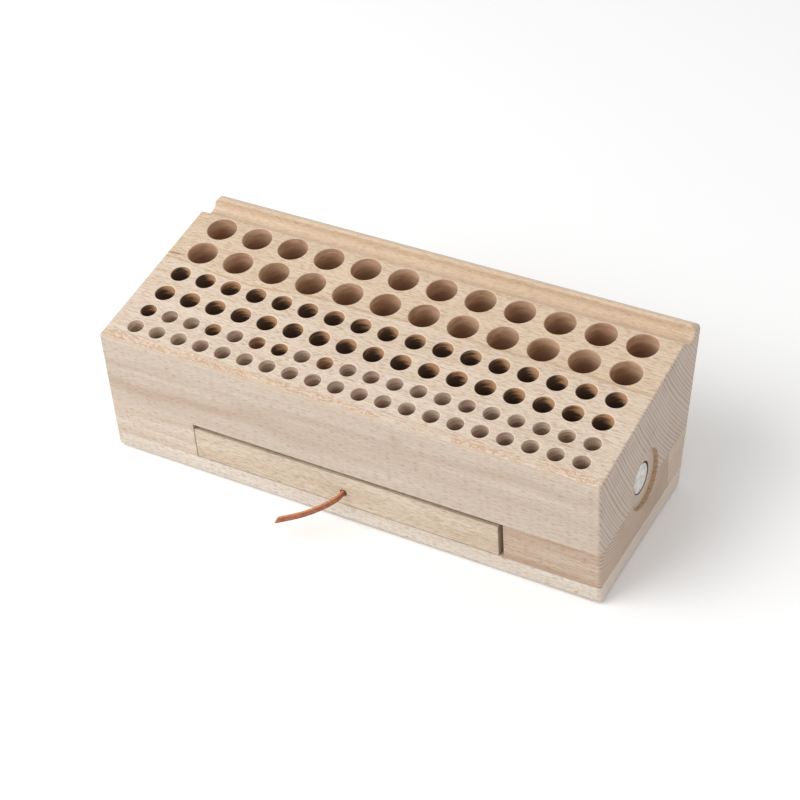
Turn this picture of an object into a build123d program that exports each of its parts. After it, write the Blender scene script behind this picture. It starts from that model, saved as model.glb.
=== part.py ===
from build123d import *
import os
from math import cos, radians, sin, tan

# Everything is in millimetres. The case is drawn from its front bottom left corner: X runs along
# its length to the right, Y to the back and Z up. The finished pieces are then moved so that the
# origin is under the middle of the case.

# ---- outside of the case ----
case_length = 260.0
case_front_height = 69.5
bore_face_angle = 7.8        # the bored face rises towards the back by this many degrees
bore_face_margin = 0.6       # along the slope, from the rear bores' rims to the groove
back_lean = 14.5             # the back face leans out by this many degrees
groove_front_wall = 5.2      # the groove's front wall falls back by this much ...
groove_depth = 4.9           # ... while it falls by this much
groove_width = 7.0           # from the foot of that wall to the lip
groove_floor_fall = 0.9
lip_height = 6.2             # from the groove's lowest line to the top of the lip
lip_thickness = 6.6          # at its top, before its edges are rounded
cove_radius = 4.0
lip_back_radius = 3.8
lip_end_radius = 4.6         # of the lip's two top corners, seen from the front
bottom_edge_radius = 3.0
end_edge_radius = 1.4
long_edge_radius = 1.5       # more than the end edges', which run round these corners
groove_foot_radius = 1.0

# ---- glued layers of the case ----
base_thickness = 10.0
drawer_layer_height = 20.0
rail_block_length = 47.5     # each block beside the drawer, along the case
cavity_depth = 75.0          # from the front face to the rear rail

# ---- bores for tool shanks, rows from the front: how many, diameter, wood in front of the row ----
bore_rows = [
    (20, 8.0, 7.2),
    (20, 8.0, 3.4),
    (17, 10.0, 4.2),
    (17, 10.0, 4.2),
    (12, 15.0, 4.1),
    (12, 15.0, 3.2),
]
bore_end_wall = 10.0         # wood between a row's outermost bore and the end face
wood_over_drawer = 11.3      # left under the front row's bores, which sets the depth of them all
bore_rim = 0.3               # broken edge at each mouth

# ---- round pocket and magnet in each end face ----
pocket_diameter = 30.0
pocket_depth = 2.0
pocket_y = 48.0
pocket_z = 36.3
magnet_diameter = 15.0
magnet_thickness = 5.0
magnet_side_clearance = 0.5  # round a centred magnet
magnet_drop = 0.45           # the disc lies this far below its hole's centre
magnet_recess = 0.2          # below the pocket floor
magnet_edge_radius = 0.4

# ---- drawer ----
drawer_left_gap = 0.1
drawer_right_gap = 2.8
drawer_under_gap = 0.1
drawer_top_gap = 2.8
drawer_front_recess = 0.3
drawer_rear_gap = 0.7
front_thickness = 10.0
side_thickness = 5.0
back_thickness = 5.0
bottom_thickness = 3.0
side_rabbet = 5.0            # depth of the rabbets in the front that take the sides
back_rabbet = 2.0            # depth of the rabbets in the sides that take the back
bottom_rabbet = 2.5          # width of the rabbet that takes the bottom panel
front_edge_radius = 0.3

# ---- leather lace pull ----
pull_from_middle = 0.65      # the hole is this far right of the middle of the drawer's front
pull_hole_diameter = 3.7
lace_width = 3.0
knot_diameter = 7.0
knot_length = 5.5
knot_edge_radius = 2.0
knot_over_bottom = 0.8       # between the knot and the drawer's bottom panel
# The lace leaves the hole straight ahead, bends to the left and droops; the last point is its tip.
# Each point is a step from the middle of the hole's mouth: right, back, up.
lace_route = [
    (0.0, 0.0, 0.0),
    (0.0, -4.2, 0.0),
    (-3.2, -11.0, -0.3),
    (-8.6, -17.0, -1.7),
    (-15.2, -21.2, -3.6),
    (-23.9, -24.6, -6.4),
]
arc_share = 0.45             # of the shorter run beside a bend, taken up by its arc

overshoot = 1.0              # cutting shapes stand this far out of what they cut

# ---- worked out from the above ----
glue_line_low = base_thickness
glue_line_high = base_thickness + drawer_layer_height
face_turn = radians(bore_face_angle)
along_face = Vector(0, cos(face_turn), sin(face_turn))
out_of_face = Vector(0, -sin(face_turn), cos(face_turn))
front_edge = Vector(0, 0, case_front_height)
row_distances = []           # from the front edge up the slope to each row's centres
rims_end = 0.0
for bore_count, bore_diameter, wood_in_front in bore_rows:
    row_distances.append(rims_end + wood_in_front + bore_diameter / 2)
    rims_end += wood_in_front + bore_diameter
bore_face_length = rims_end + bore_face_margin
first_mouth = front_edge + along_face * row_distances[0]
bore_depth = (first_mouth.Z - glue_line_high - wood_over_drawer) / cos(face_turn)
opening_left = rail_block_length
opening_right = case_length - rail_block_length
drawer_left = opening_left + drawer_left_gap
drawer_right = opening_right - drawer_right_gap
drawer_low = glue_line_low + drawer_under_gap
drawer_high = glue_line_high - drawer_top_gap
drawer_front_y = drawer_front_recess
drawer_rear_y = cavity_depth - drawer_rear_gap
front_inner_y = drawer_front_y + front_thickness
back_inner_y = drawer_rear_y - back_thickness
panel_top = drawer_low + bottom_thickness
pull_x = (drawer_left + drawer_right) / 2 + pull_from_middle
pull_z = panel_top + knot_over_bottom + knot_diameter / 2


def block(low, high):
    """A square-edged block between its lowest and its highest corner."""
    sizes = [b - a for a, b in zip(low, high)]
    return Pos(*low) * Box(*sizes, align=(Align.MIN, Align.MIN, Align.MIN))


def case_outline():
    """The case's section across its length, with its rounded corners in order from the front foot."""
    crest = front_edge + along_face * bore_face_length
    groove_foot = (crest.Y + groove_front_wall, crest.Z - groove_depth)
    cove_corner = (groove_foot[0] + groove_width, groove_foot[1] - groove_floor_fall)
    top = cove_corner[1] + lip_height
    back_at_top = cove_corner[0] + lip_thickness
    back_at_foot = back_at_top - top * tan(radians(back_lean))
    corners = [
        (0, 0),
        (0, case_front_height),
        (crest.Y, crest.Z),
        groove_foot,
        cove_corner,
        (cove_corner[0], top),
        (back_at_top, top),
        (back_at_foot, 0),
    ]
    radii = [
        bottom_edge_radius,
        long_edge_radius,
        long_edge_radius,
        groove_foot_radius,
        cove_radius,
        long_edge_radius,
        lip_back_radius,
        bottom_edge_radius,
    ]
    return FilletPolyline(*corners, radius=radii, close=True)


def case_envelope():
    """The whole case as one rounded block, before it is divided into its glued pieces."""
    section = Plane.YZ * make_face(case_outline())
    body = extrude(section, amount=case_length)
    ends = body.faces().sort_by(Axis.X)
    rims = ends[0].outer_wire().edges() + ends[-1].outer_wire().edges()
    body = fillet(rims, end_edge_radius)
    return body - lip_corner_waste(body.bounding_box())


def lip_corner_waste(box):
    """The wood that is taken off the lip's two top corners to round them."""
    middle_z = box.max.Z - lip_end_radius
    front_y = box.max.Y - 2 * lip_thickness
    waste = []
    for middle_x, low_x in (
        (lip_end_radius, -overshoot),
        (case_length - lip_end_radius, case_length - lip_end_radius),
    ):
        corner = block(
            (low_x, front_y, middle_z),
            (low_x + lip_end_radius + overshoot, box.max.Y + overshoot, box.max.Z + overshoot),
        )
        rod = Cylinder(lip_end_radius, 3 * case_length)
        waste.append(corner - Plane((middle_x, front_y, middle_z), z_dir=(0, 1, 0)) * rod)
    return waste


def shank_bore(diameter):
    """The space of one bore, its mouth at the origin and its axis down -Z, with a broken rim."""
    radius = diameter / 2
    hole = Cylinder(radius, bore_depth, align=(Align.CENTER, Align.CENTER, Align.MAX))
    rim = Cone(radius, radius + bore_rim, bore_rim, align=(Align.CENTER, Align.CENTER, Align.MAX))
    above = Cylinder(radius + bore_rim, overshoot, align=(Align.CENTER, Align.CENTER, Align.MIN))
    return hole + rim + above


def bore_places(count, diameter, distance):
    """Where the mouths of one row lie on the sloping face, evenly spaced between the end walls."""
    first = bore_end_wall + diameter / 2
    pitch = (case_length - 2 * first) / (count - 1)
    mouth = front_edge + along_face * distance
    return [mouth + Vector(first + pitch * number, 0, 0) for number in range(count)]


def all_bores():
    """Every bore of the sloping face, square to that face."""
    bores = []
    for (count, diameter, _), distance in zip(bore_rows, row_distances):
        cutter = shank_bore(diameter)
        for place in bore_places(count, diameter, distance):
            bores.append(Plane(place, x_dir=(1, 0, 0), z_dir=out_of_face) * cutter)
    return bores


def end_recess(end):
    """The shallow pocket and the deeper magnet hole in one end face: -1 left, 1 right."""
    face_x = case_length if end > 0 else 0
    mouth = Plane((face_x, pocket_y, pocket_z), x_dir=(0, 1, 0), z_dir=(end, 0, 0))
    hole_diameter = magnet_diameter + 2 * magnet_side_clearance
    hole_depth = pocket_depth + magnet_recess + magnet_thickness
    inward = (Align.CENTER, Align.CENTER, Align.MAX)
    pocket = Cylinder(pocket_diameter / 2, pocket_depth, align=inward)
    hole = Cylinder(hole_diameter / 2, hole_depth, align=inward)
    return mouth * (pocket + hole)


def magnet(end):
    """One disc magnet, lying on the floor of its hole and sunk to the hole's lower side."""
    face_x = case_length if end > 0 else 0
    outer_x = face_x - end * (pocket_depth + magnet_recess)
    seat = Plane((outer_x, pocket_y, pocket_z - magnet_drop), x_dir=(0, 1, 0), z_dir=(end, 0, 0))
    disc = Cylinder(magnet_diameter / 2, magnet_thickness, align=(Align.CENTER, Align.CENTER, Align.MAX))
    rims = disc.edges().filter_by(GeomType.CIRCLE)
    return seat * fillet(rims, magnet_edge_radius)


def case_layer(envelope, low_z, high_z, low_x=None, high_x=None, low_y=None, high_y=None):
    """The part of the case between two heights, and between limits in X and Y where given."""
    beyond = case_length
    low = (-beyond if low_x is None else low_x, -beyond if low_y is None else low_y, low_z)
    high = (2 * beyond if high_x is None else high_x, 2 * beyond if high_y is None else high_y, high_z)
    return envelope & block(low, high)


def case_pieces():
    """The glued pieces of the case and its two magnets."""
    envelope = case_envelope()
    recesses = [end_recess(-1), end_recess(1)]
    bored = case_layer(envelope, glue_line_high, 2 * case_front_height) - recesses - all_bores()
    drawer_layer = (glue_line_low, glue_line_high)
    left = case_layer(envelope, *drawer_layer, high_x=opening_left, high_y=cavity_depth)
    right = case_layer(envelope, *drawer_layer, low_x=opening_right, high_y=cavity_depth)
    return {
        "hole_block": bored,
        "left_rail_block": left - recesses[0],
        "right_rail_block": right - recesses[1],
        "rear_rail": case_layer(envelope, *drawer_layer, low_y=cavity_depth),
        "base_board": case_layer(envelope, -glue_line_low, glue_line_low),
        "left_magnet": magnet(-1),
        "right_magnet": magnet(1),
    }


def drawer_front():
    """The drawer's front, rabbeted behind for the sides and the bottom, with the pull's hole."""
    low = (drawer_left, drawer_front_y, drawer_low)
    front = block(low, (drawer_right, front_inner_y, drawer_high))
    face = front.faces().sort_by(Axis.Y)[0]
    front = fillet(face.edges(), front_edge_radius)
    under, over, behind = drawer_low - overshoot, drawer_high + overshoot, front_inner_y + overshoot
    for low_x, high_x in (
        (drawer_left - overshoot, drawer_left + side_thickness),
        (drawer_right - side_thickness, drawer_right + overshoot),
    ):
        front -= block((low_x, front_inner_y - side_rabbet, under), (high_x, behind, over))
    panel_low = (drawer_left + side_thickness - bottom_rabbet, front_inner_y - bottom_rabbet, under)
    panel_high = (drawer_right - side_thickness + bottom_rabbet, behind, panel_top)
    front -= block(panel_low, panel_high)
    return front - pull_hole()


def pull_hole():
    """The round hole for the lace, right through the front."""
    hole = Cylinder(pull_hole_diameter / 2, 3 * front_thickness)
    return Plane((pull_x, drawer_front_y, pull_z), z_dir=(0, 1, 0)) * hole


def drawer_side(left):
    """One side, seated in the front's rabbet, itself rabbeted for the back and the bottom."""
    low_x = drawer_left if left else drawer_right - side_thickness
    high_x = low_x + side_thickness
    side = block(
        (low_x, front_inner_y - side_rabbet, drawer_low), (high_x, drawer_rear_y, drawer_high)
    )
    under, over, behind = drawer_low - overshoot, drawer_high + overshoot, drawer_rear_y + overshoot
    back_low = high_x - back_rabbet if left else low_x - overshoot
    back_high = high_x + overshoot if left else low_x + back_rabbet
    side -= block((back_low, back_inner_y, under), (back_high, behind, over))
    panel_low = high_x - bottom_rabbet if left else low_x - overshoot
    panel_high = high_x + overshoot if left else low_x + bottom_rabbet
    side -= block((panel_low, front_inner_y - bottom_rabbet, under), (panel_high, behind, panel_top))
    return side


def drawer_back():
    """The back, between the sides' rabbets, standing on the bottom panel."""
    low = (drawer_left + side_thickness - back_rabbet, back_inner_y, panel_top)
    high = (drawer_right - side_thickness + back_rabbet, drawer_rear_y, drawer_high)
    return block(low, high)


def drawer_bottom():
    """The thin panel under the drawer, flush with the sides' lower edges."""
    inset = side_thickness - bottom_rabbet
    low = (drawer_left + inset, front_inner_y - bottom_rabbet, drawer_low)
    return block(low, (drawer_right - inset, drawer_rear_y, panel_top))


def pull_lace():
    """The lace's free stretch as a plain tube: straight runs joined by tangent arcs."""
    mouth = Vector(pull_x, drawer_front_y, pull_z)
    route = [mouth + Vector(*step) for step in lace_route]
    runs = [b - a for a, b in zip(route, route[1:])]
    radii = []
    for before, after in zip(runs, runs[1:]):
        half_turn = radians(before.get_angle(after)) / 2
        radii.append(arc_share * min(before.length, after.length) / tan(half_turn))
    print("lace bends", [round(radius, 1) for radius in radii])
    path = FilletPolyline(*route, radius=radii)
    section = Plane(origin=path @ 0, z_dir=path % 0) * Circle(lace_width / 2)
    tube = sweep(section, path=path)
    print("lace length", round(path.length, 2), "volume over section x length",
          round(tube.volume / (section.area * path.length), 4))
    return tube


def lace_knot():
    """The lace's stretch through the front and the knot that holds it there, inside the drawer."""
    mouth = Plane((pull_x, drawer_front_y, pull_z), z_dir=(0, 1, 0))
    reach = front_thickness + knot_length / 2
    stretch = mouth * Cylinder(
        lace_width / 2, reach, align=(Align.CENTER, Align.CENTER, Align.MIN)
    )
    knot = Cylinder(knot_diameter / 2, knot_length, align=(Align.CENTER, Align.CENTER, Align.MIN))
    knot = fillet(knot.edges().filter_by(GeomType.CIRCLE), knot_edge_radius)
    return stretch + mouth * Pos(0, 0, front_thickness) * knot


def drawer_pieces():
    """The drawer and its pull."""
    return {
        "drawer_front": drawer_front(),
        "drawer_side_left": drawer_side(True),
        "drawer_side_right": drawer_side(False),
        "drawer_back": drawer_back(),
        "drawer_bottom": drawer_bottom(),
        "pull_lace": pull_lace(),
        "lace_knot": lace_knot(),
    }


def write_parts():
    """Move the finished pieces so that the origin is under the case's middle, and write them."""
    pieces = case_pieces()
    case_box = Compound(list(pieces.values())).bounding_box()
    middle = case_box.center()
    pieces.update(drawer_pieces())
    os.makedirs("parts", exist_ok=True)
    for name, piece in pieces.items():
        export_step(Pos(-middle.X, -middle.Y, 0) * piece, os.path.join("parts", name + ".step"))
    print("case box", case_box.size, "origin at", round(middle.X, 4), round(middle.Y, 4))


write_parts()
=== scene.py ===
from math import cos, pi, radians, sin

import bpy
from mathutils import Matrix, Vector


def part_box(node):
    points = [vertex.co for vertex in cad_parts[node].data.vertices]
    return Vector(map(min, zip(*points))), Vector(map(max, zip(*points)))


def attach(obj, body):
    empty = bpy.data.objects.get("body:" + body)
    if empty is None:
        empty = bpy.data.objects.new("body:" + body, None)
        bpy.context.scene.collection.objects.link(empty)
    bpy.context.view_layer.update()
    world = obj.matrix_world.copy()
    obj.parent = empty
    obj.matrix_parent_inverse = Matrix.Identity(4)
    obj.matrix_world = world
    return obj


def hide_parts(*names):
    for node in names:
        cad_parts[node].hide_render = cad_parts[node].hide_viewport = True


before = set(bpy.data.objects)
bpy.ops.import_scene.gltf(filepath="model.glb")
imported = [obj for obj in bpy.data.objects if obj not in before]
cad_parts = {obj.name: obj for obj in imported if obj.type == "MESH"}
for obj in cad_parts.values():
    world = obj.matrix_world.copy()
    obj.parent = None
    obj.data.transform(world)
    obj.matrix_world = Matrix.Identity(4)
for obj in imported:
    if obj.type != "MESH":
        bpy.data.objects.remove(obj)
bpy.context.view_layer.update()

MM = 0.001

# ---- sizes that the finishes need, in millimetres from the case's front bottom left corner ----
base_low, base_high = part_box("base_board")
block_low, block_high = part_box("hole_block")
corner = Vector((base_low.x, base_low.y, 0)) / MM
case_length = (block_high.x - base_low.x) / MM
glue_lines = [base_high.z / MM, block_low.z / MM]
front_height = 69.5           # of the line where the front meets the sloping bored face
face_angle = radians(7.8)     # the bored face rises towards the back by this much
groove_start = 91.0           # distances from the front at which the groove and the lip begin
lip_start = 105.5
bore_depth = 30.0
bore_end_wall = 10.0          # wood between a row's outermost bore and the end face
bore_rim = 0.3                # broken edge at each mouth
# rows of bores from the front: how many, diameter, distance of their centres up the slope
bore_rows = [
    (20, 8.0, 11.2),
    (20, 8.0, 22.6),
    (17, 10.0, 35.8),
    (17, 10.0, 50.0),
    (12, 15.0, 66.6),
    (12, 15.0, 84.8),
]
pocket_centre = (48.0, 36.3)  # of the round pocket in each end: from the front, and up
pocket_radius = 15.0
magnet_radius = 7.5
magnet_hole_radius = 8.0


def paint(red, green, blue):
    """A colour given as it looks on a screen, 0 to 255, as the linear colour a shader takes."""
    linear = []
    for level in (red / 255, green / 255, blue / 255):
        linear.append(level / 12.92 if level <= 0.04045 else ((level + 0.055) / 1.055) ** 2.4)
    return (*linear, 1.0)


# ---------------------------------------------------------------- writing finishes

class Wire:
    """One output of a shader node. A sum written with wires becomes Math nodes."""

    def __init__(self, finish, socket):
        self.finish = finish
        self.socket = socket

    def maths(self, operation, *values):
        return self.finish.node("ShaderNodeMath", {"operation": operation}, values)

    def __add__(self, other):
        return self.maths("ADD", self, other)

    def __radd__(self, other):
        return self.maths("ADD", other, self)

    def __sub__(self, other):
        return self.maths("SUBTRACT", self, other)

    def __rsub__(self, other):
        return self.maths("SUBTRACT", other, self)

    def __mul__(self, other):
        return self.maths("MULTIPLY", self, other)

    def __rmul__(self, other):
        return self.maths("MULTIPLY", other, self)

    def __truediv__(self, other):
        return self.maths("DIVIDE", self, other)

    def __pow__(self, other):
        return self.maths("POWER", self, other)

    def __lt__(self, other):
        return self.maths("LESS_THAN", self, other)

    def __gt__(self, other):
        return self.maths("GREATER_THAN", self, other)

    def __abs__(self):
        return self.maths("ABSOLUTE", self)

    def fraction(self):
        return self.maths("FRACT", self)

    def rounded(self):
        return self.maths("ROUND", self)

    def matches(self, number):
        """1 where a whole number is this one."""
        return self.maths("COMPARE", self, number, 0.4)

    def larger_of(self, other):
        return self.maths("MAXIMUM", self, other)

    def between(self, low, high):
        """The value itself, held between two limits."""
        return self.maths("MINIMUM", self, high).larger_of(low)

    def rise(self, low, high):
        """0 below low, 1 above high and a smooth step between; falls if low is above high."""
        if low > high:
            return 1 - self.rise(high, low)
        settings = {"interpolation_type": "SMOOTHSTEP"}
        values = {"Value": self, "From Min": low, "From Max": high}
        return self.finish.node("ShaderNodeMapRange", settings, values)

    def hump(self, centre, half_width):
        """1 at centre, falling smoothly to 0 at half_width on each side of it."""
        return abs(self - centre).rise(half_width, 0)


class Finish:
    """One material, whose nodes all come from node()."""

    def __init__(self, name):
        self.material = bpy.data.materials.new(name)
        self.material.use_nodes = True
        self.tree = self.material.node_tree
        self.tree.nodes.clear()
        self.shader = self.tree.nodes.new("ShaderNodeBsdfPrincipled")
        output = self.tree.nodes.new("ShaderNodeOutputMaterial")
        self.tree.links.new(self.shader.outputs[0], output.inputs[0])

    def node(self, kind, settings, values, out=0):
        """Adds a node: its settings are set first, then the values or wires of its sockets."""
        node = self.tree.nodes.new(kind)
        for name, value in settings.items():
            setattr(node, name, value)
        pairs = values.items() if isinstance(values, dict) else enumerate(values)
        for key, value in pairs:
            self.feed(node.inputs[key], value)
        return Wire(self, node.outputs[out])

    def feed(self, socket, value):
        if isinstance(value, Wire):
            self.tree.links.new(value.socket, socket)
        else:
            socket.default_value = value

    def set(self, **values):
        """Sets the shader's own sockets; underscores stand for the spaces in their names."""
        for name, value in values.items():
            self.feed(self.shader.inputs[name.replace("_", " ")], value)

    def mix(self, share, first, second, blend="MIX"):
        settings = {"data_type": "RGBA", "blend_type": blend, "clamp_factor": True}
        return self.node("ShaderNodeMix", settings, {0: share, 6: first, 7: second}, out=2)

    def place(self, moved=(0, 0, 0)):
        """Object coordinates in millimetres from the case's front bottom left corner, and moved."""
        seen = self.node("ShaderNodeTexCoord", {}, {}, out="Object")
        settings = {"operation": "MULTIPLY_ADD"}
        shift = [-corner[i] + moved[i] for i in range(3)]
        return self.node("ShaderNodeVectorMath", settings, [seen, (1 / MM,) * 3, shift])

    def parts(self, vector):
        """The three components of a vector as wires."""
        first = self.node("ShaderNodeSeparateXYZ", {}, [vector])
        outputs = first.socket.node.outputs
        return [Wire(self, outputs[i]) for i in range(3)]

    def vector(self, x, y, z):
        return self.node("ShaderNodeCombineXYZ", {}, [x, y, z])

    def stretched(self, vector, scale):
        return self.node("ShaderNodeVectorMath", {"operation": "MULTIPLY"}, [vector, scale])

    def noise(self, vector, scale, detail=2.0, wander=0.0):
        """Smooth noise about 0.5; scale is how many times it turns over in a millimetre."""
        values = {"Vector": self.stretched(vector, scale), "Scale": 1.0, "Detail": detail,
                  "Roughness": 0.55, "Distortion": wander}
        return self.node("ShaderNodeTexNoise", {}, values)

    def specks(self, vector, scale, size):
        """Scattered spots, one to a cell: 1 in the middle of each, 0 beyond size of a cell."""
        values = {"Vector": self.stretched(vector, scale), "Scale": 1.0}
        near = self.node("ShaderNodeTexVoronoi", {}, values, out="Distance")
        return near.rise(size, 0.3 * size)

    def bump(self, height, distance):
        """Relief without geometry: distance, in metres, is how far a height of 1 stands out."""
        values = {"Strength": 1.0, "Distance": distance, "Height": height}
        self.set(Normal=self.node("ShaderNodeBump", {}, values))


# ---------------------------------------------------------------- beech

PORE_BROWN = paint(150, 110, 78)
GLUE_BROWN = paint(150, 116, 86)


class Beech(Finish):
    """Sanded beech with its grain along X. The rings run round a pith line beside the board."""

    def __init__(self, name, pale, deep, pith, ring_gap, moved=(0, 0, 0), bend=11):
        super().__init__(name)
        self.pale = pale
        self.deep = deep
        self.here = self.place(moved)
        self.x, self.y, self.z = self.parts(self.place())
        warp = self.noise(self.here, (0.005, 0.022, 0.022), detail=2.0) - 0.5
        across = self.y - pith[0]
        above = self.z - pith[1]
        reach = (across * across + above * above) ** 0.5
        self.radius = reach + warp * bend
        # some years' rings are wider than others'
        swell = self.noise(self.vector(0, self.radius * 0.13, 0), (1, 1, 1), detail=1.0) - 0.5
        self.ring = (self.radius / ring_gap + swell * 2.4).fraction()
        # the angle round the pith, made about as long as the arc it stands for
        self.around = across.maths("ARCTAN2", above, across) * 80

    def end_face(self):
        """1 on the two end faces of the case, where the fibres are cut across."""
        return abs(self.x - case_length / 2).rise(case_length / 2 - 1.1, case_length / 2 - 0.3)

    def long_grain(self, figure, pale=None, deep=None, ring_share=0.35, dash_share=0.5):
        """The colour of a face cut along the fibres. figure, 0 to 1, is how deep the tone is."""
        pale, deep = pale or self.pale, deep or self.deep
        fibre = self.noise(self.here, (0.012, 1.1, 1.1), detail=3.0)
        tone = self.mix(figure, pale, deep)
        tone = self.mix(self.ring ** 5 * ring_share, tone, deep)
        tone = self.mix(fibre.rise(0.42, 0.72) * 0.4, tone, deep)
        short = self.noise(self.here, (0.28, 2.4, 2.4), detail=0.0).rise(0.56, 0.68)
        fine = self.noise(self.here, (0.5, 4.6, 4.6), detail=0.0).rise(0.55, 0.65)
        marks = short * 0.75 + fine * 0.35
        tone = self.mix(marks * dash_share, tone, PORE_BROWN)
        return tone, marks

    def end_grain(self, light, dark, share=1.0):
        """The colour of a face cut across the fibres: rings, pores and fine rays between them."""
        late = self.ring.rise(0.4, 0.85) * self.ring.rise(1.0, 0.93)
        pores = self.noise(self.here, (0.3, 2.4, 2.4), detail=2.0)
        rays = self.noise(self.vector(0, self.around, self.radius), (1, 1.6, 0.07), detail=1.0)
        broad = self.noise(self.here, (0.01, 0.05, 0.05), detail=2.0)
        shade = late * 0.8 * share + pores.rise(0.5, 0.8) * 0.3 - rays.rise(0.55, 0.75) * 0.2
        return self.mix(shade + (broad - 0.5) * 0.8, light, dark)

    def glued(self, colour, share=0.15):
        """A hair of darker glue where two boards meet."""
        near = 0.0
        for height in glue_lines:
            near = abs(self.z - height).rise(0.22, 0.08) + near
        return self.mix(near * share, colour, GLUE_BROWN)

    def finish_with(self, colour, marks):
        """Colour, satin roughness and the faint relief of the marks in it."""
        self.set(Base_Color=colour, Roughness=0.62 - marks * 0.08)
        self.bump(1 - marks * 0.5 - self.ring ** 5 * 0.3, 0.00006)


def plain_board(name, tones, end_tones, pith, ring_gap, moved,
                end_share=1.0, glue=0.15, **shares):
    """A plain glued board: broad soft figure along its length, and its own end grain."""
    wood = Beech(name, *tones, pith, ring_gap, moved)
    broad = wood.noise(wood.here, (0.012, 0.09, 0.12), detail=3.0)
    side, marks = wood.long_grain((broad - 0.5) * 1.8 + 0.35, **shares)
    colour = wood.mix(wood.end_face(), side, wood.end_grain(*end_tones, end_share))
    wood.finish_with(wood.glued(colour, glue), marks)
    return wood.material


# ---------------------------------------------------------------- the bored block

# bores of the second row whose drill was dull: some as dark as the larger bores, some browned
CHARRED_IN_SECOND_ROW = (0, 3, 6)
BROWNED_IN_SECOND_ROW = (5, 8)


def front_face(wood, wave, streaks):
    """The front: a soft deeper band that rises to the right, and a blotch over the drawer."""
    x, z = wood.x, wood.z
    band = (z - x * 0.02 + wave * 22).hump(42, 8)
    lower_band = (z - x * 0.02 - wave * 18).hump(54, 5) * 0.25
    blotch = ((x - 160) * 0.16).hump(0, 1) * (z - 60).hump(0, 4.5)
    figure = band * (1 - x.rise(60, 150) * 0.75) * 0.5 + lower_band
    figure = figure + blotch * 0.45 + (streaks - 0.5) * 0.7 + 0.3
    return wood.long_grain(figure, paint(206, 194, 180), paint(176, 155, 135),
                           ring_share=0.12, dash_share=0.5)


def bored_face(wood, wave, streaks, slope, depth, groove):
    """The bored face, groove and lip: yellower at the back, past a thin wavy line."""
    border = slope + wave * 13 - wood.x * 0.008
    rear = border.rise(56, 59)
    line = border.hump(57.3, 1.4) * wood.noise(wood.here, (0.03, 0.5, 0.5)).rise(0.25, 0.5)
    figure = line * 0.8 + (streaks - 0.5) * 0.9 + 0.2
    top, marks = wood.long_grain(figure, ring_share=0.25, dash_share=0.55)
    yellower = slope.rise(10, 56) * 0.3 + rear * 0.35
    top = wood.mix(yellower, top, paint(252, 243, 226), blend="MULTIPLY")
    # curled flecks in the band before the front bores and, fewer, in the groove
    curls = wood.noise(wood.here, (0.22, 0.42, 0.42), detail=1.0, wander=1.2)
    curls = abs(curls - 0.5).rise(0.06, 0.025)
    patchy = wood.noise(wood.here, (0.05, 0.12, 0.12), detail=1.0)
    front_band = slope.rise(6.5, 4.0) * slope.rise(0.0, 1.0) * depth.rise(1.0, 0.3)
    flecks = curls * (front_band + groove * 0.4) * patchy.rise(0.25, 0.45)
    top = wood.mix(flecks * 0.75, top, paint(194, 146, 102))
    top = wood.mix(groove * 0.35, top, paint(202, 178, 152))
    lip = wood.y.rise(lip_start, lip_start + 2)
    top = wood.mix(lip * 0.7, top, paint(204, 190, 176))
    # painted shade along the rounded front edge, darkening the highlight the light puts on it
    front_edge_painted_shade = slope.rise(1.2, 0.2) * depth.rise(1.5, 0.4)
    top = wood.mix(front_edge_painted_shade * 0.9, top, paint(184, 167, 148))
    knot = (wood.x - 4).hump(0, 8) * (slope - 61.5 - wood.x * 0.05).hump(0, 0.9)
    return wood.mix(knot * 0.9, top, paint(120, 84, 58)), marks


def bored_block():
    """The block's beech: its figure, the scorched bores with painted shade and light in them and
    pale rims that are partly a painted highlight, the pockets' cut walls.
    """
    wood = Beech("beech_bored_block", paint(222, 207, 191), paint(192, 168, 142),
                 pith=(300, 218), ring_gap=1.85, bend=2.5)
    above_edge = wood.z - front_height
    slope = wood.y * cos(face_angle) + above_edge * sin(face_angle)     # distance up the slope
    depth = wood.y * sin(face_angle) - above_edge * cos(face_angle)     # below the bored face
    wave = wood.noise(wood.here, (0.016, 0.02, 0.02), detail=1.0) - 0.5
    streaks = wood.noise(wood.here, (0.01, 0.25, 0.25), detail=4.0)
    groove = wood.y.rise(groove_start, groove_start + 1)
    front, front_marks = front_face(wood, wave, streaks)
    top, top_marks = bored_face(wood, wave, streaks, slope, depth, groove)
    facing_up = depth.rise(2.2, 0.6).larger_of(groove)
    side = wood.mix(facing_up, front, top)
    marks = front_marks + (top_marks - front_marks) * facing_up

    ends = wood.end_grain(paint(199, 181, 167), paint(138, 118, 103), share=0.7)
    smudge = (wood.y - 57).hump(0, 2.2) * (wood.z - 57).hump(0, 2.6) * streaks.rise(0.4, 0.55)
    ends = wood.mix(smudge * 0.6, ends, paint(104, 80, 62))
    colour = wood.mix(wood.end_face(), side, ends)
    colour = pocketed(wood, colour)
    colour = scorched(wood, colour, slope, depth)
    wood.finish_with(wood.glued(colour), marks)
    return wood.material


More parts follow.
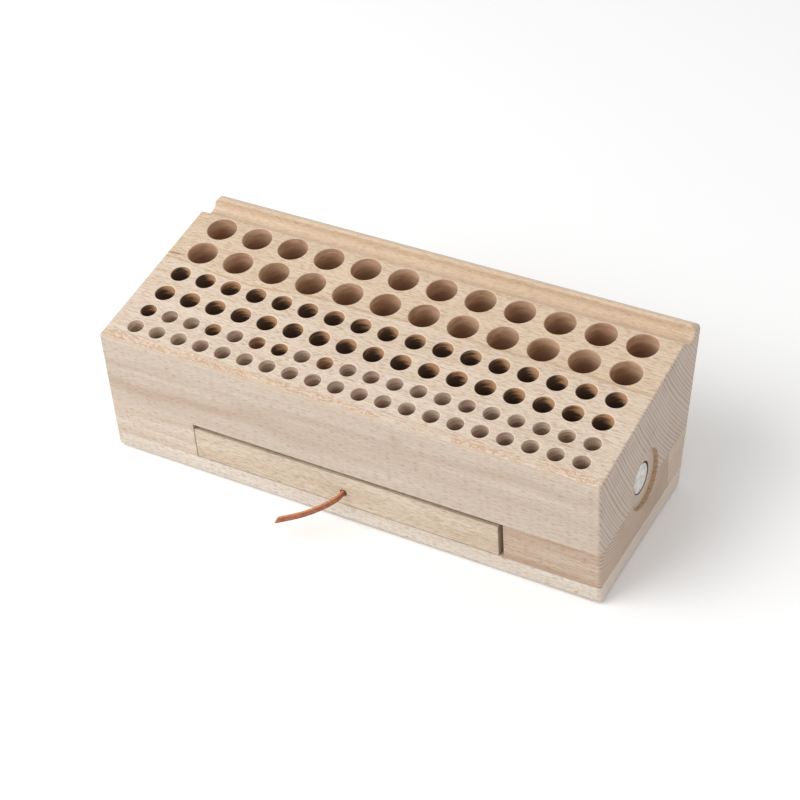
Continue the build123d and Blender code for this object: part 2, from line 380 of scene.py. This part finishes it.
def scorched(wood, colour, slope, depth):
    """The bores' walls: raw wood in the small ones, charred in the middle rows, brown behind.
    Painted shade darkens each wall deeper down and the charred ones to the left; painted light
    brightens the right of the large ones; each mouth gets a pale rim, partly its raw broken edge
    and partly a painted highlight.
    """
    walls = depth.rise(bore_rim - 0.05, bore_rim + 0.25) * (depth < bore_depth + 0.4)
    along_wall = wood.vector(wood.x * 0.11, slope * 0.13, depth)
    streaks = wood.noise(along_wall, (1, 1, 0.85), detail=3.0, wander=0.3)
    soft = wood.noise(along_wall, (1, 1, 0.3), detail=2.0, wander=0.3)
    # painted shade: deeper down into each bore the walls are painted darker
    deeper = depth.rise(0.3, 11)
    raw = wood.mix(streaks.rise(0.35, 0.7), paint(232, 210, 190), paint(184, 156, 134))
    raw = wood.mix(deeper * 0.8, raw, paint(140, 110, 90))
    brown = wood.mix(soft.rise(0.35, 0.65), paint(226, 190, 158), paint(192, 150, 118))
    brown = wood.mix(streaks.rise(0.45, 0.8) * 0.35, brown, paint(150, 108, 80))
    brown = wood.mix(deeper * 0.75, brown, paint(142, 102, 76))
    for number, (count, diameter, distance) in enumerate(bore_rows):
        first = bore_end_wall + diameter / 2
        pitch = (case_length - 2 * first) / (count - 1)
        turn = (wood.x - first) / pitch
        nearest = turn.rounded().between(0, count - 1)
        off_x = (turn - nearest) * pitch
        off_slope = slope - distance
        off_centre = (off_x * off_x + off_slope * off_slope) ** 0.5
        # pale rim round each mouth: partly the raw wood of the broken edge, partly a painted
        # highlight where that edge catches the light
        rim_highlight = off_centre.rise(diameter / 2 + 0.6, diameter / 2 + 0.3) * depth.rise(0.6, 0.3)
        colour = wood.mix(rim_highlight * (0.4 if diameter < 12 else 0.12), colour, paint(236, 222, 206))
        inside = (off_centre < diameter / 2 + 0.14) * walls
        # partly charring, partly painted shade: blacker deeper down and towards the left-hand wall
        # of each bore, which the light leaves in shade
        char_and_painted_shade = depth * 0.075 - off_x * 0.12 + (streaks - 0.5) * 1.4 + (soft - 0.5) * 0.8
        char_with_painted_shade = wood.mix(char_and_painted_shade.rise(0.1, 0.75), paint(218, 172, 130), paint(84, 68, 56))
        # painted light: the right-hand wall of each large bore, which faces the light, is painted
        # paler
        brown_with_painted_light = wood.mix(off_x.rise(-8, 8) * 0.3, brown, paint(228, 200, 172))
        wall = raw if diameter < 9 else char_with_painted_shade if diameter < 12 else brown_with_painted_light
        if number == 1:
            singed = wood.mix(0.5, brown, char_with_painted_shade)
            for places, tone in ((BROWNED_IN_SECOND_ROW, singed), (CHARRED_IN_SECOND_ROW, char_with_painted_shade)):
                for place in places:
                    wall = wood.mix(nearest.matches(place), wall, tone)
        colour = wood.mix(inside, colour, wall)
    return colour


def from_pocket_centre(y, z):
    """The distance from the middle line of the pockets."""
    off_y = y - pocket_centre[0]
    off_z = z - pocket_centre[1]
    return (off_y * off_y + off_z * off_z) ** 0.5


def pocketed(wood, colour):
    """The round pocket in each end: an orange-tan cut wall, a grey-brown floor with tool rings."""
    off_centre = from_pocket_centre(wood.y, wood.z)
    inward = case_length / 2 - abs(wood.x - case_length / 2)
    within = (off_centre < pocket_radius + 0.15) * (inward > 0.25)
    grain = wood.noise(wood.here, (0.3, 1.8, 1.8), detail=3.0)
    floor = (off_centre * 1.4).fraction() * 0.3 + grain.rise(0.4, 0.75) * 0.5
    floor = wood.mix(floor, paint(204, 190, 174), paint(160, 140, 122))
    wall = wood.mix(grain.rise(0.35, 0.7), paint(212, 178, 142), paint(166, 130, 98))
    wall_share = off_centre.rise(pocket_radius - 0.5, pocket_radius - 0.2)
    shaft = off_centre.rise(magnet_hole_radius + 0.3, magnet_hole_radius)
    inner = wood.mix(wall_share, floor, wall)
    inner = wood.mix(shaft, inner, paint(120, 92, 70))
    return wood.mix(within, colour, inner)


def rail_block(name, tones, pith, moved, **shares):
    """A rail block: plain beech, with its share of the pocket in its end."""
    wood = Beech(name, *tones, pith, ring_gap=1.7, moved=moved)
    broad = wood.noise(wood.here, (0.012, 0.12, 0.16), detail=3.0)
    side, marks = wood.long_grain((broad - 0.5) * 2.2 + 0.4, **shares)
    ends = wood.end_grain(paint(195, 174, 154), paint(146, 121, 101), share=0.9)
    colour = pocketed(wood, wood.mix(wood.end_face(), side, ends))
    wood.finish_with(wood.glued(colour), marks)
    return wood.material


# ---------------------------------------------------------------- magnet and leather

def nickel():
    """Dull bright plating with faint turned rings and a few rubbed spots."""
    plate = Finish("nickel_plate")
    here = plate.place()
    _, y, z = plate.parts(here)
    off_centre = from_pocket_centre(y, z)
    clouds = plate.noise(here, (0.3, 0.3, 0.3), detail=4.0)
    rings = plate.noise(plate.vector(off_centre * 3, 0, 0), (1, 1, 1), detail=2.0)
    tone = plate.mix(clouds.rise(0.35, 0.7), paint(239, 239, 236), paint(207, 206, 202))
    edge = off_centre.rise(magnet_radius - 0.6, magnet_radius)
    plate.set(Base_Color=plate.mix(edge * 0.5, tone, paint(150, 146, 142)),
              Metallic=0.75, Roughness=0.38 + clouds * 0.14 + rings * 0.05)
    plate.bump(rings, 0.00002)
    return plate.material


def leather():
    """Vegetable-tanned lace: a red-brown grain side, and cut edges of raw orange-tan fibres."""
    hide = Finish("tanned_leather")
    here = hide.place()
    edge = hide.node("ShaderNodeAttribute", {"attribute_name": "cut_edge"}, {}, out="Fac")
    grain = hide.noise(here, (2.6, 2.6, 2.6), detail=4.0)
    mottle = hide.noise(here, (0.5, 0.5, 0.5), detail=3.0)
    creases = hide.specks(here, (1.6, 1.6, 1.6), 0.45)
    face = hide.mix(mottle.rise(0.3, 0.7), paint(176, 106, 74), paint(140, 80, 56))
    face = hide.mix(grain.rise(0.5, 0.8) * 0.5, face, paint(112, 62, 44))
    raw = hide.mix(grain.rise(0.35, 0.7), paint(214, 144, 92), paint(168, 98, 58))
    hide.set(Base_Color=hide.mix(edge.rise(0.3, 0.7), face, raw),
             Roughness=0.58 + edge * 0.25 - grain * 0.1)
    hide.bump(grain - creases * 0.4, 0.00012)
    return hide.material


# ---------------------------------------------------------------- the lace and its knot

lace_width = 3.0 * MM
lace_thickness = 1.4 * MM
# The same points as the lace's route in the solids, in metres from the middle of the hole's mouth.
lace_route = [
    (0.0, 0.0, 0.0),
    (0.0, -0.0042, 0.0),
    (-0.0032, -0.0110, -0.0003),
    (-0.0086, -0.0170, -0.0017),
    (-0.0152, -0.0212, -0.0036),
    (-0.0239, -0.0246, -0.0064),
]
front_low, front_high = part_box("drawer_front")
lace_mouth = Vector((-0.0007, front_low.y, 0.0174))
tip_slant = 3.0 * MM          # how far the slanting cut's lower corner reaches past its upper one
edge_rounding = 0.28          # corner radius of the lace's section, as a share of its thickness
knot_lace_width = 0.62        # the lace is pulled this much narrower in the knot


def line_through(points, name):
    """Points along the smooth line that these control points guide."""
    curve = bpy.data.curves.new(name, "CURVE")
    curve.dimensions = "3D"
    spline = curve.splines.new("NURBS")
    spline.points.add(len(points) - 1)
    for point, place in zip(spline.points, points):
        point.co = (*place, 1)
    spline.order_u = 3
    spline.use_endpoint_u = True
    spline.resolution_u = 12
    holder = bpy.data.objects.new(name, curve)
    bpy.context.scene.collection.objects.link(holder)
    bpy.context.view_layer.update()
    seen = holder.evaluated_get(bpy.context.evaluated_depsgraph_get())
    mesh = bpy.data.meshes.new_from_object(seen)
    line = [vertex.co.copy() for vertex in mesh.vertices]
    bpy.data.objects.remove(holder)
    bpy.data.meshes.remove(mesh)
    return line


def flat_section(width, thickness, corner_radius, steps=3):
    """The lace's cross-section, as (across its width, across its thickness, is a cut edge)."""
    points = []
    for turn, (sign_w, sign_t) in enumerate(((1, 1), (-1, 1), (-1, -1), (1, -1))):
        centre_w = sign_w * (width / 2 - corner_radius)
        centre_t = sign_t * (thickness / 2 - corner_radius)
        for step in range(steps + 1):
            angle = pi / 2 * (turn + step / steps)
            points.append((centre_w + corner_radius * cos(angle),
                           centre_t + corner_radius * sin(angle),
                           1.0 if abs(cos(angle)) > 0.6 else 0.0))
    return points


def strip_along(name, line, facings, width, thickness, slant=0.0):
    """A closed strip that follows a line; facings are its width directions, slant its far cut."""
    section = flat_section(width, thickness, edge_rounding * thickness)
    verts, faces, cut = [], [], []
    last = len(line) - 1
    for index, (place, wide) in enumerate(zip(line, facings)):
        along = (line[min(index + 1, last)] - line[max(index - 1, 0)]).normalized()
        wide = (wide - along * wide.dot(along)).normalized()
        thick = along.cross(wide)
        near_tip = (index / last) ** 12
        for across, out, is_edge in section:
            shift = along * (-slant * (across / width + 0.5)) * near_tip
            verts.append(place + wide * across + thick * out + shift)
            cut.append(is_edge)
    ring = len(section)
    for index in range(last):
        for number in range(ring):
            after = (number + 1) % ring
            faces.append((index * ring + number, index * ring + after,
                          (index + 1) * ring + after, (index + 1) * ring + number))
    faces.append(tuple(reversed(range(ring))))
    faces.append(tuple(last * ring + number for number in range(ring)))
    mesh = bpy.data.meshes.new(name)
    mesh.from_pydata(verts, [], faces)
    mesh.update()
    attribute = mesh.attributes.new("cut_edge", "FLOAT", "POINT")
    attribute.data.foreach_set("value", cut)
    piece = bpy.data.objects.new(name, mesh)
    bpy.context.scene.collection.objects.link(piece)
    for polygon in mesh.polygons:
        polygon.use_smooth = len(polygon.vertices) == 4
    mesh.materials.append(leather_finish)
    return piece


def pull_lace():
    """The flat lace's free stretch, from the hole's mouth to its slanting tip."""
    line = line_through([lace_mouth + Vector(step) for step in lace_route], "lace_line")
    facings = [Vector((0, 0, 1))] * len(line)
    piece = strip_along("leather_lace", line, facings, lace_width, lace_thickness, tip_slant)
    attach(piece, "drawer")
    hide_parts("pull_lace")
    return piece, line


def lace_knot():
    """The stretch through the drawer's front and the overhand knot that holds it behind."""
    knot_middle = front_high.y + 2.6 * MM
    loop, crossing_height, lean = 0.86 * MM, 0.95 * MM, 0.9 * MM
    straight_steps, knot_steps = 8, 60
    line = []
    for step in range(straight_steps + 1):
        y = lace_mouth.y + (front_high.y - lace_mouth.y) * step / straight_steps
        line.append(Vector((lace_mouth.x, y, lace_mouth.z)))
    for step in range(knot_steps + 1):
        angle = 2 * pi * step / knot_steps
        line.append(Vector((
            lace_mouth.x + loop * (sin(angle) + 2 * sin(2 * angle)),
            knot_middle - crossing_height * sin(3 * angle) + lean * (step / knot_steps - 0.5),
            lace_mouth.z + loop * (cos(angle) - 2 * cos(2 * angle)),
        )))
    line.append(line[-1] + Vector((0.3, 1.6, -0.4)) * MM)
    facings = []
    for index, place in enumerate(line):
        outward = place - Vector((lace_mouth.x, place.y, lace_mouth.z))
        in_knot = index > straight_steps
        facings.append(outward + Vector((0, 0.6, 0)) * MM if in_knot else Vector((0, 0, 1)))
    width = lace_width * knot_lace_width
    piece = strip_along("lace_knot_behind_front", line, facings, width, lace_thickness)
    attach(piece, "drawer")
    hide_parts("lace_knot")
    return piece


# ---------------------------------------------------------------- finishing each piece

leather_finish = leather()
nickel_finish = nickel()
plain_ends = (paint(205, 187, 168), paint(165, 140, 118))
drawer_inside = plain_board("beech_drawer_inside", (paint(216, 198, 176), paint(190, 165, 138)),
                            plain_ends, pith=(30, -60), ring_gap=2.6, moved=(400, 30, 20))
finishes = {
    "hole_block": bored_block(),
    "left_rail_block": rail_block(
        "beech_left_rail", (paint(215, 203, 190), paint(188, 168, 146)),
        pith=(60, 110), moved=(90, 40, 10), ring_share=0.3, dash_share=0.6),
    "right_rail_block": rail_block(
        "beech_right_rail", (paint(203, 185, 167), paint(165, 138, 114)),
        pith=(55, 120), moved=(610, 70, 33), ring_share=0.55, dash_share=0.65),
    "rear_rail": plain_board(
        "beech_rear_rail", (paint(214, 196, 178), paint(186, 160, 136)),
        (paint(212, 193, 174), paint(169, 144, 124)),
        pith=(170, -40), ring_gap=2.4, moved=(260, 15, 50)),
    "base_board": plain_board(
        "beech_base", (paint(219, 211, 200), paint(197, 182, 165)),
        (paint(216, 201, 188), paint(187, 168, 151)),
        pith=(40, -90), ring_gap=2.8, moved=(150, 80, 60), end_share=0.3, dash_share=0.6),
    "drawer_front": plain_board(
        "beech_drawer_front", (paint(213, 200, 181), paint(188, 168, 143)), plain_ends,
        pith=(-70, -30), ring_gap=2.2, moved=(330, 55, 5), glue=0.0, dash_share=0.6),
    "left_magnet": nickel_finish,
    "right_magnet": nickel_finish,
}
for name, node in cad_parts.items():
    node.data.materials.clear()
    node.data.materials.append(finishes.get(name, drawer_inside))

lace, lace_line = pull_lace()
knot = lace_knot()

# ---------------------------------------------------------------- stage, light and camera


def stage_floor():
    """A plain pale floor under the object."""
    reach, drop = 6.0, 0.0003
    mesh = bpy.data.meshes.new("floor")
    corners = [(reach * x, reach * y, -drop) for x, y in ((-1, -1), (1, -1), (1, 1), (-1, 1))]
    mesh.from_pydata(corners, [], [(0, 1, 2, 3)])
    floor = bpy.data.objects.new("floor", mesh)
    bpy.context.scene.collection.objects.link(floor)
    pale = Finish("pale_floor")
    pale.set(Base_Color=paint(250, 250, 250), Roughness=0.9, Specular_IOR_Level=0.1)
    mesh.materials.append(pale.material)


def soft_light(name, towards, distance, size, watts):
    """A square soft light that looks at the object from the direction given."""
    lamp = bpy.data.lights.new(name, "AREA")
    lamp.size = size
    lamp.energy = watts
    holder = bpy.data.objects.new(name, lamp)
    holder.location = Vector(towards).normalized() * distance
    holder.rotation_euler = Vector(towards).to_track_quat("Z", "Y").to_euler()
    bpy.context.scene.collection.objects.link(holder)


def surroundings(brightness):
    """Even white light from all round."""
    world = bpy.data.worlds.new("white_room")
    world.use_nodes = True
    background = world.node_tree.nodes["Background"]
    background.inputs["Color"].default_value = (1, 1, 1, 1)
    background.inputs["Strength"].default_value = brightness
    bpy.context.scene.world = world


def photo_camera():
    """The camera that sees the object as the photograph does."""
    turned_left, looking_down, rolled = radians(31.56), radians(39.51), radians(-4.44)
    lens = bpy.data.cameras.new("camera")
    lens.sensor_width = 36.0
    lens.lens = 92.854
    lens.clip_start = 0.01
    lens.shift_x, lens.shift_y = -0.0006, 0.0006
    camera = bpy.data.objects.new("camera", lens)
    turn = Matrix.Rotation(turned_left, 4, "Z") @ Matrix.Rotation(pi / 2 - looking_down, 4, "X")
    place = Matrix.Translation((0.39803, -0.64688, 0.65832))
    camera.matrix_world = place @ turn @ Matrix.Rotation(rolled, 4, "Z")
    bpy.context.scene.collection.objects.link(camera)
    bpy.context.scene.camera = camera


bpy.context.scene.view_settings.view_transform = "Standard"
stage_floor()
surroundings(brightness=0.70)
soft_light("key", towards=(-0.45, -0.55, 0.75), distance=1.6, size=1.2, watts=18)
photo_camera()
